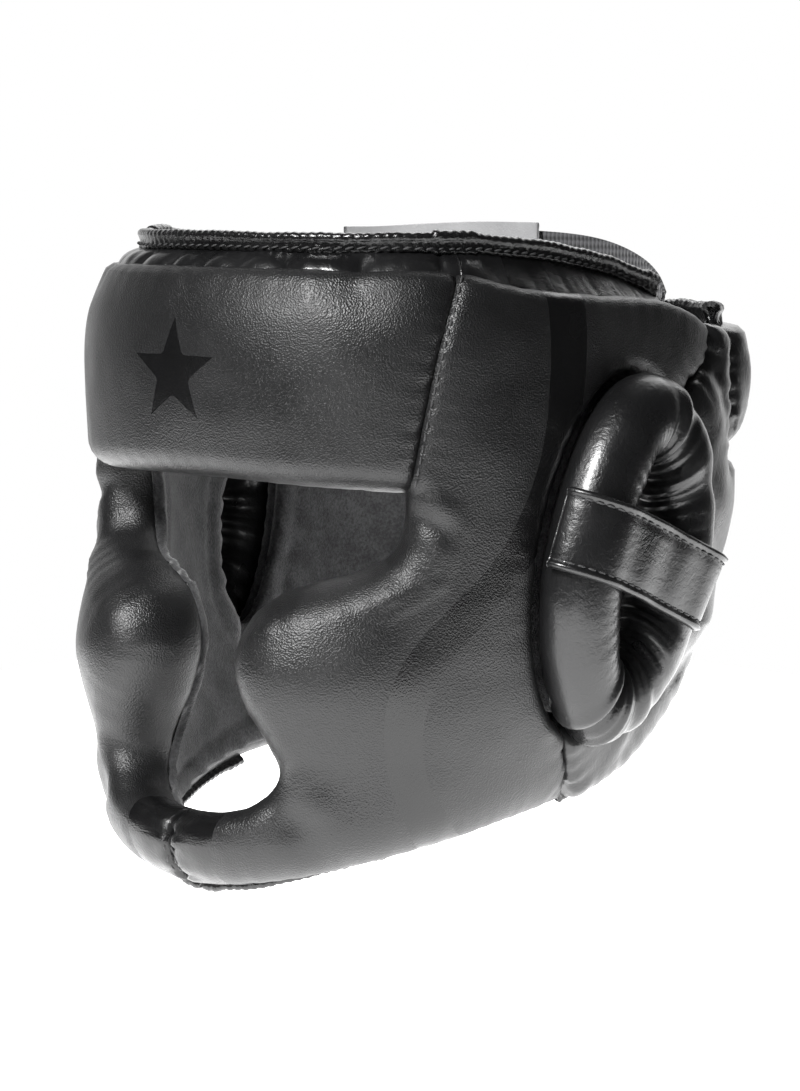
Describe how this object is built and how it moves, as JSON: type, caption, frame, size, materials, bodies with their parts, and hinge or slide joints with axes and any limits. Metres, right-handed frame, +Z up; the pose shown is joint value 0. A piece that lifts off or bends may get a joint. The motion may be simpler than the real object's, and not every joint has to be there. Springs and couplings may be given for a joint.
{
  "type": "boxing headgear",
  "caption": "Padded full-face boxing headgear with forehead, cheek and chin pads, round ear guards with straps, a bound crown and hook-and-loop straps.",
  "frame": {"origin": "inside the head cavity, on the middle plane, at the height of the ear openings' middle", "axes": "+X to the wearer's left, -Y out of the face, +Z up"},
  "size_m": [0.2554, 0.2599, 0.2385],
  "materials": {
    "matte_leather": "matte grained synthetic leather",
    "gloss_leather": "soft glossy synthetic leather",
    "foam": "closed-cell foam",
    "suede": "napped microfibre lining",
    "binding": "folded binding tape, puckered",
    "webbing": "ribbed elastic webbing",
    "hook_and_loop": "hook-and-loop tape"
  },
  "bodies": {
    "shell": {"forehead_cover": "matte_leather", "side_cover_left": "matte_leather", "side_cover_right": "matte_leather", "wing_cover_left": "gloss_leather", "wing_cover_right": "gloss_leather", "back_cover": "gloss_leather", "ear_roll_cover_left": "gloss_leather", "ear_roll_cover_right": "gloss_leather", "ear_strap_left": "gloss_leather", "ear_strap_right": "gloss_leather", "crown_band_front": "gloss_leather", "crown_band_left": "gloss_leather", "crown_band_right": "gloss_leather", "chin_tab": "gloss_leather", "forehead_foam": "foam", "temple_foam_left": "foam", "temple_foam_right": "foam", "cheek_foam_left": "foam", "cheek_foam_right": "foam", "chin_foam_left": "foam", "chin_foam_right": "foam", "wing_foam_left": "foam", "wing_foam_right": "foam", "back_foam": "foam", "ear_roll_foam_left": "foam", "ear_roll_foam_right": "foam", "ear_inner_cushion_left": "foam", "ear_inner_cushion_right": "foam", "forehead_lining": "suede", "side_lining_left": "suede", "side_lining_right": "suede", "wing_lining_left": "suede", "wing_lining_right": "suede", "back_lining": "suede", "crown_binding_front": "binding", "crown_binding_left": "binding", "crown_binding_right": "binding", "back_binding": "binding", "jaw_binding_left": "binding", "jaw_binding_right": "binding", "neck_binding_left": "binding", "neck_binding_right": "binding", "crown_webbing": "webbing", "closure_loop_patch": "hook_and_loop", "chin_loop_patch": "hook_and_loop"},
    "closure": {"closure_strap": "gloss_leather", "closure_hook_patch": "hook_and_loop"},
    "crown_flap": {"crown_flap": "gloss_leather", "crown_hook_patch": "hook_and_loop"},
    "chin_strap": {"chin_strap": "gloss_leather", "chin_hook_patch": "hook_and_loop"}
  },
  "joints": [
    {"name": "closure_peel", "type": "hinge", "parent": "shell", "child": "closure", "pos_m": [0.063, 0.1138, 0.0029], "axis": [0, 0, -1], "range_deg": [0, 75]},
    {"name": "crown_flap_peel", "type": "hinge", "parent": "shell", "child": "crown_flap", "pos_m": [-0.0858, 0.0586, 0.107], "axis": [0, 0, -1], "range_deg": [0, 60]},
    {"name": "chin_strap_swing", "type": "hinge", "parent": "shell", "child": "chin_strap", "pos_m": [-0.046, -0.056, -0.1082], "axis": [0, 1, 0], "range_deg": [0, 80]}
  ]
}
